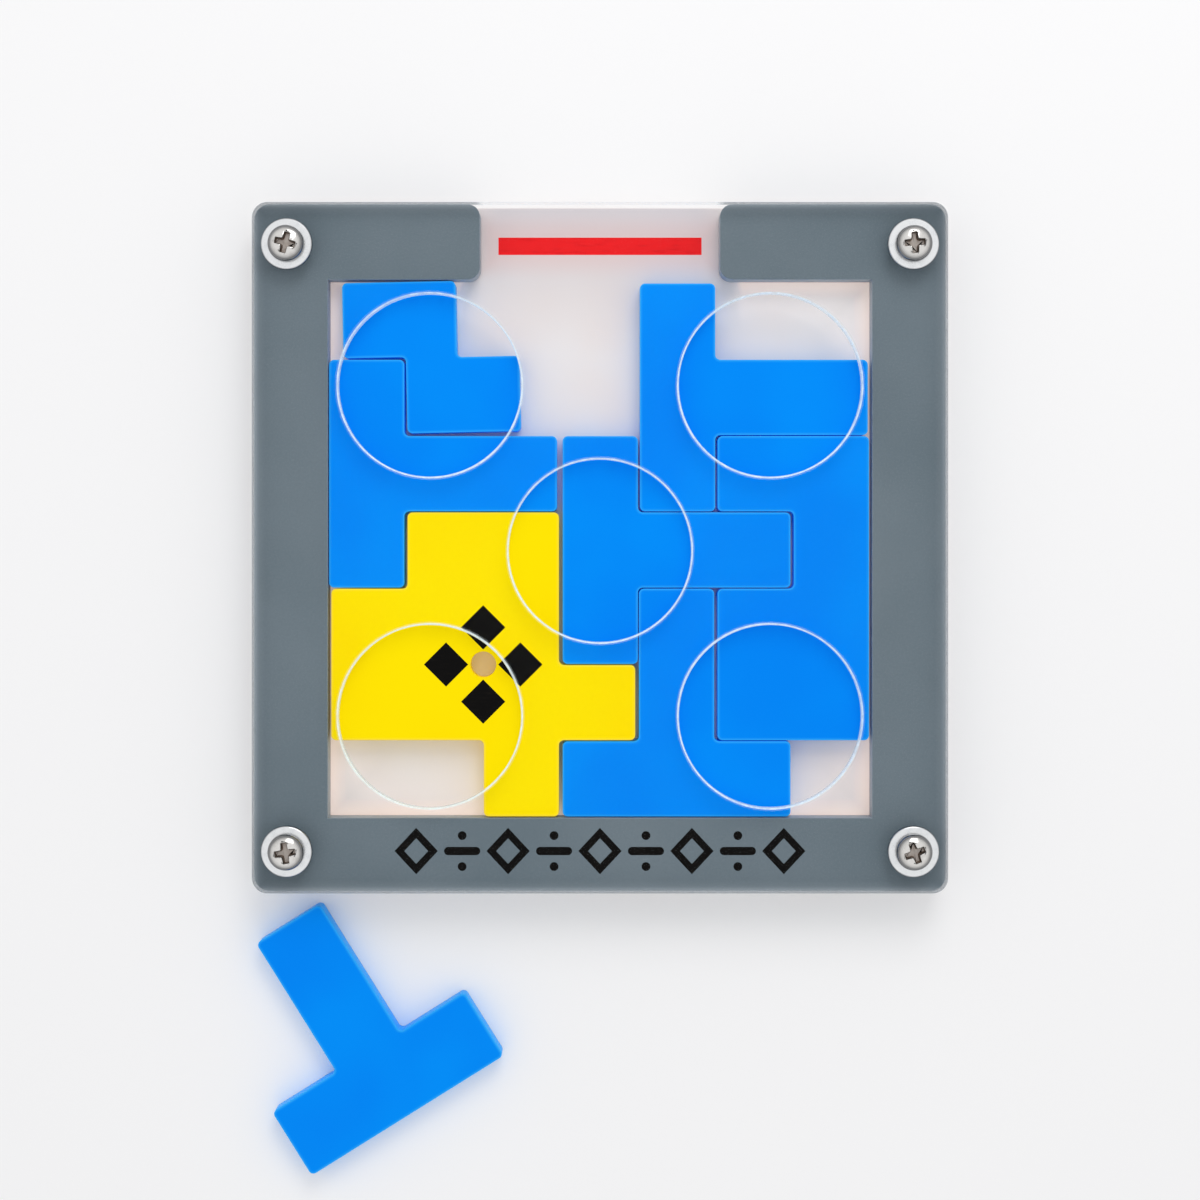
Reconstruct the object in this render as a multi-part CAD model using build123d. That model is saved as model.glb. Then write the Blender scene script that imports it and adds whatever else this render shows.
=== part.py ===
"""Packing puzzle: a flat acrylic tray under a clear cover, with eight pieces to pack into it.

Millimetres, +Z up. The tray lies on its back. The origin is the middle of its back face, and +Y
points to the entry gap in the top border, through which the pieces go in and out.
"""

import os

from build123d import *

# Sheets that the puzzle is cut from
base_thickness = 3.0
frame_thickness = 5.0
cover_thickness = 3.0
piece_thickness = 4.5

# Grid that the pieces are drawn on
cell_size = 14.8
cells_across = 7
cells_high = 7
t_cells = 3  # a T piece fits in 3 x 3 cells
cut_loss = 0.1  # what the cut takes off each side of a piece
piece_corner_radius = 1.0
piece_lift = 0.02  # air that a sliding piece keeps under it

# Tray
spare_width = 1.9
spare_height = 0.7
side_border = 14.25
bottom_border = 14.2
top_border = 14.6
tray_corner_radius = 3.0
entry_width = 46.5
entry_corner_radius = 2.4

# Red line on the base in the entry gap
red_line_length = 39.8
red_line_width = 3.4
red_line_inset = 7.5  # from the tray's top edge to the line's middle
red_line_depth = 0.3

# Finger holes in the cover: one in the middle and four round it
finger_hole_diameter = 35.2
finger_hole_across = 65.6
finger_hole_high = 63.8
finger_hole_shift = -0.6

# Cover screws, with their washers and nuts
screw_inset_across = 6.8
screw_inset_high = 8.2
screw_diameter = 3.5
screw_head_diameter = 7.0
screw_head_height = 2.4
screw_head_side = 0.8
screw_tip_chamfer = 0.4
screw_tip_height = 0.4
screw_thread_play = 0.03
recess_length = 4.2
recess_width = 1.3
recess_depth = 1.4
recess_taper = 12
screw_hole_diameter = 3.9
washer_diameter = 9.9
washer_thickness = 1.0
nut_width = 7.9
nut_thickness = 2.8
nut_play = 0.1

# Ornament in the bottom border: lozenges with bars and dots between them
inlay_depth = 0.5
border_lozenge_count = 5
border_lozenge_pitch = 17.8
border_lozenge_width = 8.4
border_lozenge_height = 9.0
border_lozenge_rim = 0.55  # size of a lozenge's middle as a share of the lozenge
border_bar_length = 7.0
border_bar_width = 1.6
border_dot_diameter = 1.7
border_dot_rise = 3.0
border_inlay_inset = 7.8  # from the tray's bottom edge to the ornament's middle

# Ornament on the yellow piece: four lozenges round a hole
yellow_lozenge_size = 8.6
yellow_ring_radius = 7.2
yellow_hole_diameter = 5.0
yellow_ornament_cells = (2, 2)  # its middle, in cells from the piece's lower left corner

# Upper left piece: two short bars, the lower one further right
offset_bar_cells = 1.5
offset_step = 12.1
offset_tilt = 1.2
offset_gap = 0.6  # between the left T piece and the lower bar, before the tilt
offset_lift = 0.07

# Turns, in degrees
quarter_turn = 90
loose_turn = 32.0

# Cell of the grid, column and row, where the lower left corner of each piece lies
left_t_cell = (0, 3)
yellow_cell = (0, 0)
centre_t_cell = (3, 2)
upper_right_t_cell = (4, 4)
bottom_t_cell = (3, 0)
right_piece_cell = (5, 1)
offset_row = 5

# How far right of its cell each of them lies
left_t_shift = 0.0
yellow_shift = 0.4
centre_t_shift = 0.9
upper_right_t_shift = 1.1
bottom_t_shift = 0.9
right_piece_shift = 1.35

# Loose piece in front of the tray
loose_middle_x = -37.5
loose_gap = 3.4

# Sizes and places that follow
interior_width = cells_across * cell_size + spare_width
interior_height = cells_high * cell_size + spare_height
tray_width = interior_width + 2 * side_border
tray_height = interior_height + bottom_border + top_border
interior_left = -interior_width / 2
interior_bottom = -tray_height / 2 + bottom_border
interior_top = interior_bottom + interior_height
grid_left = interior_left + cut_loss
grid_bottom = interior_bottom + cut_loss
frame_bottom = base_thickness
piece_bottom = base_thickness + piece_lift
cover_bottom = frame_bottom + frame_thickness
cover_top = cover_bottom + cover_thickness
washer_top = cover_top + washer_thickness
screw_across = tray_width - 2 * screw_inset_across
screw_high = tray_height - 2 * screw_inset_high
red_line_y = tray_height / 2 - red_line_inset
border_inlay_y = -tray_height / 2 + border_inlay_inset

# Blocks of each piece in cells: left, bottom, wide, high
T_BLOCKS = [(0, 0, 3, 1), (1, 1, 1, 2)]
YELLOW_BLOCKS = [(2, 0, 1, 1), (0, 1, 4, 1), (0, 2, 3, 1), (1, 3, 2, 1)]
RIGHT_BLOCKS = [(0, 0, 2, 2), (1, 2, 1, 1), (0, 3, 2, 1)]


def tray_outline():
    """The outline that the base, the frame and the cover share."""
    return RectangleRounded(tray_width, tray_height, tray_corner_radius)


def at_screws(shape):
    """Copies of a shape at the tray's four screws."""
    return [place * shape for place in GridLocations(screw_across, screw_high, 2, 2)]


def lozenge(width, height):
    """A lozenge on its point, in the middle of the plane."""
    return make_face(
        Polyline((width / 2, 0), (0, height / 2), (-width / 2, 0), (0, -height / 2), close=True)
    )


def border_ornament():
    """Lozenges with open middles, and a bar between two dots in each space, in the bottom border."""
    ring = lozenge(border_lozenge_width, border_lozenge_height) - lozenge(
        border_lozenge_width * border_lozenge_rim, border_lozenge_height * border_lozenge_rim
    )
    bar = SlotOverall(border_bar_length, border_bar_width)
    dot = Circle(border_dot_diameter / 2)
    row = Pos(0, border_inlay_y)
    shapes = [
        row * place * ring for place in GridLocations(border_lozenge_pitch, 0, border_lozenge_count, 1)
    ]
    for place in GridLocations(border_lozenge_pitch, 0, border_lozenge_count - 1, 1):
        shapes.append(row * place * bar)
        shapes.append(row * place * Pos(0, border_dot_rise) * dot)
        shapes.append(row * place * Pos(0, -border_dot_rise) * dot)
    return shapes


def yellow_ornament():
    """Four lozenges round the hole of the yellow piece, on the piece's own grid."""
    middle = Pos(*(count * cell_size for count in yellow_ornament_cells))
    shape = lozenge(yellow_lozenge_size, yellow_lozenge_size)
    return [middle * place * shape for place in PolarLocations(yellow_ring_radius, 4)]


def solids(faces, thickness, bottom):
    """Each face as a solid of the given thickness, with its underside at the given height."""
    return [Pos(0, 0, bottom) * extrude(face, thickness) for face in faces]


def piece_outline(blocks):
    """The outline of a piece: its blocks of the grid as one shape, less what the cut takes."""
    shape = Sketch()
    for left, bottom, wide, high in blocks:
        middle = Pos((left + wide / 2) * cell_size, (bottom + high / 2) * cell_size)
        shape += middle * Rectangle(wide * cell_size, high * cell_size)
    cut = offset(shape, amount=-cut_loss, kind=Kind.INTERSECTION)
    return fillet(cut.vertices(), piece_corner_radius)


def piece(blocks):
    """A piece with its grid's lower left corner at the origin, standing on z = 0."""
    return extrude(piece_outline(blocks), piece_thickness)


def on_grid(cell, shift):
    """The place of a piece's lower left corner in the tray, from its cell and its shift."""
    column, row = cell
    return Pos(grid_left + column * cell_size + shift, grid_bottom + row * cell_size, piece_bottom)


def turned_t(turn, cell, shift):
    """A T piece in the tray, turned by the given angle about the middle of its 3 x 3 cells."""
    middle = Pos(t_cells * cell_size / 2, t_cells * cell_size / 2)
    return on_grid(cell, shift) * middle * Rot(0, 0, turn) * middle.inverse() * piece(T_BLOCKS)


def base_plate():
    """White base with a shallow pocket for the red line and a pocket for each nut."""
    plate = extrude(tray_outline(), base_thickness)
    line = Pos(0, red_line_y) * Rectangle(red_line_length, red_line_width)
    plate -= Pos(0, 0, base_thickness - red_line_depth) * extrude(line, red_line_depth)
    pocket = RegularPolygon(nut_width / 2 + nut_play, 6, major_radius=False)
    for hole in at_screws(extrude(pocket, base_thickness)):
        plate -= hole
    return plate


def red_line():
    """Red fill of the line in the entry gap."""
    line = Pos(0, red_line_y) * Rectangle(red_line_length, red_line_width)
    return Pos(0, 0, base_thickness - red_line_depth) * extrude(line, red_line_depth)


def tray_frame():
    """Grey border of the tray, open at the entry gap, with its ornament cut into the top."""
    interior = Pos(0, interior_bottom + interior_height / 2) * Rectangle(interior_width, interior_height)
    entry = Pos(0, interior_top + top_border / 2) * Rectangle(entry_width, 2 * top_border)
    outline = tray_outline() - interior - entry
    ends = outline.vertices().filter_by(lambda corner: abs(abs(corner.X) - entry_width / 2) < cut_loss)
    outline = fillet(ends, entry_corner_radius)
    for hole in at_screws(Circle(screw_hole_diameter / 2)):
        outline -= hole
    frame = Pos(0, 0, frame_bottom) * extrude(outline, frame_thickness)
    for pocket in solids(border_ornament(), inlay_depth, cover_bottom - inlay_depth):
        frame -= pocket
    return frame


def border_inlay():
    """Black fill of the ornament in the bottom border."""
    return Compound(children=solids(border_ornament(), inlay_depth, cover_bottom - inlay_depth))


def cover_plate():
    """Clear cover with its five finger holes and four screw holes."""
    outline = tray_outline()
    finger_hole = Circle(finger_hole_diameter / 2)
    middle = Pos(0, finger_hole_shift)
    outline -= middle * finger_hole
    for place in GridLocations(finger_hole_across, finger_hole_high, 2, 2):
        outline -= middle * place * finger_hole
    for hole in at_screws(Circle(screw_hole_diameter / 2)):
        outline -= hole
    return Pos(0, 0, cover_bottom) * extrude(outline, cover_thickness)


def screw_recess():
    """Cross recess, narrower towards its bottom, open at z = 0 and going down."""
    cross = Rectangle(recess_length, recess_width) + Rectangle(recess_width, recess_length)
    return extrude(cross, -recess_depth, taper=recess_taper)


def cover_screw():
    """Pan head screw with a cross recess, its seat at z = 0."""
    head_radius = screw_head_diameter / 2
    rim = (head_radius, screw_head_side)
    crown = (0, screw_head_height)
    dome_height = screw_head_height - screw_head_side
    dome = EllipticalCenterArc((0, screw_head_side), head_radius, dome_height, arc_size=quarter_turn)
    profile = make_face(
        Line((0, 0), (head_radius, 0)) + Line((head_radius, 0), rim) + dome + Line(crown, (0, 0))
    )
    head = revolve(Plane.XZ * profile, Axis.Z)
    head -= Pos(0, 0, screw_head_height) * screw_recess()
    length = washer_top - screw_tip_height
    shank = Pos(0, 0, -length / 2) * Cylinder(screw_diameter / 2, length)
    shank = chamfer(shank.edges().group_by(Axis.Z)[0], screw_tip_chamfer)
    return head + shank


def cover_screws():
    """The four screws that hold the cover."""
    return Compound(children=at_screws(Pos(0, 0, washer_top) * cover_screw()))


def screw_washers():
    """The four flat washers under the screw heads."""
    ring = Circle(washer_diameter / 2) - Circle(screw_hole_diameter / 2)
    return Compound(children=at_screws(Pos(0, 0, cover_top) * extrude(ring, washer_thickness)))


def screw_nuts():
    """The four nuts, sunk in the base and drawn up against the frame."""
    outline = RegularPolygon(nut_width / 2, 6, major_radius=False)
    outline -= Circle(screw_diameter / 2 + screw_thread_play)
    nut = Pos(0, 0, frame_bottom - nut_thickness) * extrude(outline, nut_thickness)
    return Compound(children=at_screws(nut))


def yellow_piece():
    """Large piece in the lower left, with a round hole and four lozenges cut into its top."""
    shape = piece(YELLOW_BLOCKS)
    middle = Pos(*(count * cell_size for count in yellow_ornament_cells))
    shape -= middle * extrude(Circle(yellow_hole_diameter / 2), piece_thickness)
    for pocket in solids(yellow_ornament(), inlay_depth, piece_thickness - inlay_depth):
        shape -= pocket
    return on_grid(yellow_cell, yellow_shift) * shape


def yellow_inlay():
    """Black fill of the lozenges on the yellow piece."""
    place = on_grid(yellow_cell, yellow_shift)
    fills = solids(yellow_ornament(), inlay_depth, piece_thickness - inlay_depth)
    return Compound(children=[place * fill for fill in fills])


def upper_left_piece():
    """Piece of two short bars, tilted a little in the free corner as if just pushed there."""
    step = offset_step / cell_size
    blocks = [(step, 0, offset_bar_cells, 1), (0, 1, offset_bar_cells, 1)]
    left_t_side = grid_left + cell_size - cut_loss + left_t_shift
    left = left_t_side + offset_gap - cut_loss - offset_step
    bottom = grid_bottom + offset_row * cell_size + offset_lift
    corner = Pos(left, bottom, piece_bottom)
    return corner * Rot(0, 0, offset_tilt) * piece(blocks)


def right_piece():
    """Piece of seven blocks at the right, with a notch that takes the centre T's stem."""
    return on_grid(right_piece_cell, right_piece_shift) * piece(RIGHT_BLOCKS)


def loose_t_piece():
    """T piece that lies by itself in front of the tray."""
    shape = Rot(0, 0, loose_turn) * Pos(-t_cells * cell_size / 2, 0) * piece(T_BLOCKS)
    front = -tray_height / 2 - loose_gap
    return Pos(loose_middle_x, front - shape.bounding_box().max.Y) * shape


NODES = {
    "base_plate": base_plate(),
    "red_line": red_line(),
    "tray_frame": tray_frame(),
    "border_inlay": border_inlay(),
    "cover_plate": cover_plate(),
    "cover_screws": cover_screws(),
    "screw_washers": screw_washers(),
    "screw_nuts": screw_nuts(),
    "yellow_piece": yellow_piece(),
    "yellow_inlay": yellow_inlay(),
    "upper_left_piece": upper_left_piece(),
    "left_t_piece": turned_t(-quarter_turn, left_t_cell, left_t_shift),
    "centre_t_piece": turned_t(-quarter_turn, centre_t_cell, centre_t_shift),
    "upper_right_t_piece": turned_t(-quarter_turn, upper_right_t_cell, upper_right_t_shift),
    "right_piece": right_piece(),
    "bottom_t_piece": turned_t(0, bottom_t_cell, bottom_t_shift),
    "loose_t_piece": loose_t_piece(),
}

os.makedirs("parts", exist_ok=True)
for name, shape in NODES.items():
    export_step(shape, f"parts/{name}.step")
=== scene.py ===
"""Looks of the packing puzzle: acrylic sheets, engraved fills, plated fasteners and a studio.

Sizes are in millimetres in the classes below, and a finished mesh is scaled to metres once.
+Z points out of the clear cover, and +Y points to the entry gap.
"""

import logging
import math
from collections.abc import Callable, Iterable
from dataclasses import dataclass, field
from enum import Enum

import bmesh
import bpy
from mathutils import Matrix, Vector


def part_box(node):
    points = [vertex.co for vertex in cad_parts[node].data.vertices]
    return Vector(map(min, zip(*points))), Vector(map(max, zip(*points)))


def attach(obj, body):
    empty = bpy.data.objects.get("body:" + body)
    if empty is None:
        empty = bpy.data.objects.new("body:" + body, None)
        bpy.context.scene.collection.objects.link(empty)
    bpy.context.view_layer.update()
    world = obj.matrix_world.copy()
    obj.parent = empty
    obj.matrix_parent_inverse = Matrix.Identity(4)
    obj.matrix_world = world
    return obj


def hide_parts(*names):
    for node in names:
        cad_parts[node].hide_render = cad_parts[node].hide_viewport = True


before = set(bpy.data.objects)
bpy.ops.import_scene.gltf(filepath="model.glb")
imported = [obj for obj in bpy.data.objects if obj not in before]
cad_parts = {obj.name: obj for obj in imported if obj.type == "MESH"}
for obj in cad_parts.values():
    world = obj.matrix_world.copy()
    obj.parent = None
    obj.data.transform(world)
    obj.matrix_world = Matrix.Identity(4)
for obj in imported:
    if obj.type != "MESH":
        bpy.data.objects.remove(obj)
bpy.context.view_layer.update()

log = logging.getLogger("packing_puzzle")

MM = 0.001
Colour = tuple[float, float, float, float]
Span = tuple[float, float]
Cells = frozenset[tuple[int, int]]
Shape = bmesh.types.BMesh
Material = bpy.types.Material
UNLIT: Colour = (0.0, 0.0, 0.0, 1.0)

ACRYLIC_IOR = 1.49
FACES_UP: Span = (0.6, 0.9)
SPECK_CHOICE: Span = (0.72, 0.74)

MERGE_DISTANCE = 0.001
SPIN_MERGE_DISTANCE = 0.0005
CLOSE = 0.1
LEVEL = 0.999
SMOOTH_ANGLE = math.radians(40)
STRAIGHT_ANGLE = math.radians(1)
MOUTH_ANGLE = math.radians(35)
RIM_SEGMENTS = 3
MOUTH_SEGMENTS = 2
RECESS_CORNER_SEGMENTS = 3
CUTTER_BOTTOM = -5.0
CUTTER_HEIGHT = 25.0
NUT_SIDES = 6
SCREW_HOLE_SIDES = 40
ORNAMENT_HOLE_SIDES = 48
FINGER_HOLE_SIDES = 128


class Slot(Enum):
    """Material slots of the record; each new piece is made with one, which nothing here reads."""

    OPAL = "opal_acrylic"
    GREY = "grey_acrylic"
    CLEAR = "clear_acrylic"
    STEEL = "screw_steel"
    ZINC = "zinc_washer"
    YELLOW = "yellow_acrylic"
    BLUE = "blue_acrylic"


def shade(red: int, green: int, blue: int) -> Colour:
    """Turn a display colour into the linear colour that a shader takes.

    Args:
        red: Red from 0 to 255.
        green: Green from 0 to 255.
        blue: Blue from 0 to 255.

    Returns:
        The linear colour with full alpha.
    """
    parts = [value / 255 for value in (red, green, blue)]
    low = [part / 12.92 for part in parts]
    high = [((part + 0.055) / 1.055) ** 2.4 for part in parts]
    linear = [dark if part <= 0.04045 else light for part, dark, light in zip(parts, low, high)]
    return (linear[0], linear[1], linear[2], 1.0)


def in_metres(span: Span) -> Span:
    """A span in millimetres turned into metres."""
    return (span[0] * MM, span[1] * MM)


@dataclass(frozen=True)
class Pattern:
    """Noise: its size in millimetres, its finer octaves and how tight it is along each axis."""

    size: float
    detail: float = 2.0
    stretch: tuple[float, float, float] = (1, 1, 1)


@dataclass(frozen=True)
class Specks:
    """Sparse round specks: the spacing of their cells and their radius, in millimetres."""

    spacing: float
    radius: float


class Amount:
    """A number that varies over a surface: sums written on it add Math nodes."""

    def __init__(self, board: "Board", socket: bpy.types.NodeSocket) -> None:
        """Keep the socket and the board that it is on."""
        self.board = board
        self.socket = socket

    def maths(self, operation: str, first: object, second: object = 0.0) -> "Amount":
        """The result of one Math node on two values or Amounts."""
        node = self.board.node("ShaderNodeMath", {"operation": operation}, {0: first, 1: second})
        return Amount(self.board, node.outputs[0])

    def __add__(self, other: object) -> "Amount":
        """This plus other."""
        return self.maths("ADD", self, other)

    def __radd__(self, other: object) -> "Amount":
        """Other plus this."""
        return self.maths("ADD", other, self)

    def __sub__(self, other: object) -> "Amount":
        """This minus other."""
        return self.maths("SUBTRACT", self, other)

    def __rsub__(self, other: object) -> "Amount":
        """Other minus this."""
        return self.maths("SUBTRACT", other, self)

    def __mul__(self, other: object) -> "Amount":
        """This times other."""
        return self.maths("MULTIPLY", self, other)

    def __rmul__(self, other: object) -> "Amount":
        """Other times this."""
        return self.maths("MULTIPLY", other, self)

    def __abs__(self) -> "Amount":
        """This without its sign."""
        return self.maths("ABSOLUTE", self)

    def larger(self, other: object) -> "Amount":
        """The larger of this and other."""
        return self.maths("MAXIMUM", self, other)

    def step(self, low: float, high: float) -> "Amount":
        """Go smoothly from 0 at low to 1 at high.

        Args:
            low: Value that gives 0.
            high: Value that gives 1. It may be the smaller one.

        Returns:
            The smooth step.
        """
        flip = high < low
        inputs = {"Value": self, "From Min": min(low, high), "From Max": max(low, high)}
        node = self.board.node("ShaderNodeMapRange", {"interpolation_type": "SMOOTHSTEP"}, inputs)
        result = Amount(self.board, node.outputs["Result"])
        return 1 - result if flip else result


class Board:
    """The node board of one material, with the few kinds of node that the finishes share."""

    def __init__(self, name: str) -> None:
        """Start an empty board for a new material.

        Args:
            name: Name of the material.
        """
        self.material = bpy.data.materials.new(name)
        self.material.use_nodes = True
        self.tree = self.material.node_tree
        self.tree.nodes.clear()
        self.point = self.node("ShaderNodeTexCoord").outputs["Object"]

    def node(
        self, kind: str, settings: dict | None = None, inputs: dict | None = None
    ) -> bpy.types.Node:
        """Add a node.

        Args:
            kind: Type of the node.
            settings: Its settings, which are set first.
            inputs: Values, sockets or Amounts for its sockets, by name or number.

        Returns:
            The new node.
        """
        new = self.tree.nodes.new(kind)
        for key, value in (settings or {}).items():
            setattr(new, key, value)
        for key, value in (inputs or {}).items():
            source = value.socket if isinstance(value, Amount) else value
            if isinstance(source, bpy.types.NodeSocket):
                self.tree.links.new(source, new.inputs[key])
            else:
                new.inputs[key].default_value = source
        return new

    def noise(self, pattern: Pattern) -> Amount:
        """Noise on the object's own coordinates.

        Args:
            pattern: What the noise is like.

        Returns:
            The noise, about 0.5 on average.
        """
        stretched = {"Vector": self.point, "Scale": pattern.stretch}
        point = self.node("ShaderNodeMapping", None, stretched).outputs[0]
        inputs = {"Vector": point, "Scale": 1 / (pattern.size * MM), "Detail": pattern.detail}
        return Amount(self, self.node("ShaderNodeTexNoise", None, inputs).outputs["Fac"])

    def specks(self, specks: Specks) -> Amount:
        """Sparse round specks, such as dust.

        Args:
            specks: How wide the specks are, and how far apart.

        Returns:
            1 on a speck and 0 elsewhere.
        """
        inputs = {"Vector": self.point, "Scale": 1 / (specks.spacing * MM)}
        cells = self.node("ShaderNodeTexVoronoi", None, inputs)
        chosen = Amount(self, cells.outputs["Color"]).step(*SPECK_CHOICE)
        share = specks.radius / specks.spacing
        return Amount(self, cells.outputs["Distance"]).step(share, share / 2) * chosen

    def attribute(self, name: str) -> Amount:
        """A number that the mesh keeps at its vertices."""
        node = self.node("ShaderNodeAttribute", {"attribute_name": name})
        return Amount(self, node.outputs["Fac"])

    def axes(self) -> tuple[Amount, Amount, Amount]:
        """The object's own coordinates in metres, one by one."""
        parts = self.node("ShaderNodeSeparateXYZ", None, {0: self.point}).outputs
        return (Amount(self, parts[0]), Amount(self, parts[1]), Amount(self, parts[2]))

    def past_edge(self, half_wide: float, half_high: float) -> Amount:
        """How far a place is past a rectangle about the origin, in metres: below 0 inside."""
        across, up, _ = self.axes()
        return (abs(across) - half_wide * MM).larger(abs(up) - half_high * MM)

    def upward(self) -> Amount:
        """1 on a face that looks up, 0 on an upright face, and -1 on a face that looks down."""
        normal = self.node("ShaderNodeNewGeometry").outputs["True Normal"]
        return Amount(self, self.node("ShaderNodeSeparateXYZ", None, {0: normal}).outputs[2])

    def steepness(self) -> Amount:
        """0 on a face that lies flat, and 1 on a face that stands upright."""
        return 1 - abs(self.upward())

    def mix(self, share: object, first: object, second: object) -> bpy.types.NodeSocket:
        """The first colour mixed with a share of the second."""
        node = self.node("ShaderNodeMix", {"data_type": "RGBA"}, {0: share, 6: first, 7: second})
        return node.outputs[2]

    def bump(self, height: Amount, depth: float) -> bpy.types.NodeSocket:
        """The normal of a relief from a height of 0 to 1 and its depth in millimetres."""
        inputs = {"Height": height, "Distance": depth * MM, "Strength": 1.0}
        return self.node("ShaderNodeBump", None, inputs).outputs["Normal"]

    def finish(self, **inputs: object) -> Material:
        """Close the board with a Principled shader.

        Args:
            **inputs: The shader's sockets, with underscores for spaces.

        Returns:
            The finished material.
        """
        named = {key.replace("_", " "): value for key, value in inputs.items()}
        shader = self.node("ShaderNodeBsdfPrincipled", None, named)
        output = self.node("ShaderNodeOutputMaterial")
        self.tree.links.new(shader.outputs[0], output.inputs["Surface"])
        return self.material


@dataclass(frozen=True)
class Grained:
    """How rough and how shiny a grained surface is."""

    roughness: float
    grain_roughness: float
    grain_depth: float
    sheen: float

    def sockets(self, board: Board, grain: Amount) -> dict:
        """The shader's sockets that the grain sets.

        Args:
            board: The board of the material.
            grain: The grain, from 0 to 1.

        Returns:
            The value of each socket, by the socket's name.
        """
        return {
            "Roughness": grain * self.grain_roughness + self.roughness,
            "Normal": board.bump(grain, self.grain_depth),
            "Specular_IOR_Level": self.sheen,
        }


@dataclass(frozen=True)
class CutAcrylic:
    """Coloured cast acrylic: painted highlight at its cut edges, painted glow on its walls."""

    name: str
    body: Colour
    # edge: colour of the painted highlight at the cut edges, also used for the dust specks
    edge: Colour
    deep: Colour
    glow: float = 0.8
    clouds: Pattern = Pattern(26)
    cloud_span: Span = (0.3, 0.75)
    cloud_share: float = 0.6
    dust: Specks = Specks(4.2, 0.07)
    dust_share: float = 0.4
    grain: Pattern = Pattern(0.28)
    smears: Pattern = Pattern(9, detail=3)
    smear_roughness: float = 0.08
    surface: Grained = Grained(0.22, 0.12, 0.004, 0.03)
    wall_light: float = 0.07
    face_light: float = 0.0

    def make(self) -> Material:
        """Build the material from the mesh's painted highlight, slow clouds and a fine satin grain.

        Returns:
            The material.
        """
        board = Board(self.name)
        cloud = board.noise(self.clouds).step(*self.cloud_span) * self.cloud_share
        colour = board.mix(cloud, self.body, self.deep)
        # painted highlight: the mesh's glow mark lays the edge colour on walls, rims and a thin
        # ring
        colour = board.mix(board.attribute("glow") * self.glow, colour, self.edge)
        # painted glow: the walls, and the faces at face_light, shine with the deep colour as
        # emission
        lit = board.steepness().larger(self.face_light)
        sockets = self.surface.sockets(board, board.noise(self.grain))
        sockets["Roughness"] += board.noise(self.smears) * self.smear_roughness
        return board.finish(
            **sockets,
            Base_Color=board.mix(board.specks(self.dust) * self.dust_share, colour, self.edge),
            IOR=ACRYLIC_IOR,
            Emission_Color=board.mix(lit, UNLIT, self.deep),
            Emission_Strength=self.wall_light,
        )


@dataclass(frozen=True)
class BorderAcrylic:
    """Grey acrylic of the border, with painted highlight in a band along the tray's outside and on
    walls.
    """

    name: str
    body: Colour
    # band: colour of the painted highlight, also the lighter side of the grain's mottle
    band: Colour
    tray: "Tray"
    highlight_band_width: float = 1.1
    highlight_band_share: float = 0.44
    highlight_fade_width: float = 2.4
    highlight_fade_share: float = 0.26
    clouds: Pattern = Pattern(30)
    cloud_span: Span = (0.3, 0.7)
    cloud_share: float = 0.08
    grain: Pattern = Pattern(0.35, detail=3)
    grain_share: float = 0.18
    wall_highlight_share: float = 0.7
    surface: Grained = Grained(0.34, 0.12, 0.005, 0.15)

    def make(self) -> Material:
        """Build the material from the distance to the tray's outside, where the highlight is
        painted.

        Returns:
            The material.
        """
        board = Board(self.name)
        inside = board.past_edge(self.tray.width / 2, self.tray.height / 2) * (-1 / MM)
        # painted highlight along the tray's outside: a wide fade and a narrow band
        fade = inside.step(self.highlight_fade_width, 0.0) * self.highlight_fade_share
        band = inside.step(self.highlight_band_width, 0.0) * self.highlight_band_share
        grain = board.noise(self.grain)
        cloud = board.noise(self.clouds).step(*self.cloud_span)
        colour = board.mix(fade + band, self.body, self.band)
        mottle = cloud * self.cloud_share + grain * self.grain_share
        colour = board.mix(mottle, colour, self.band)
        # painted highlight on the walls
        colour = board.mix(board.steepness() * self.wall_highlight_share, colour, self.band)
        sockets = self.surface.sockets(board, grain)
        return board.finish(Base_Color=colour, IOR=ACRYLIC_IOR, **sockets)


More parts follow.
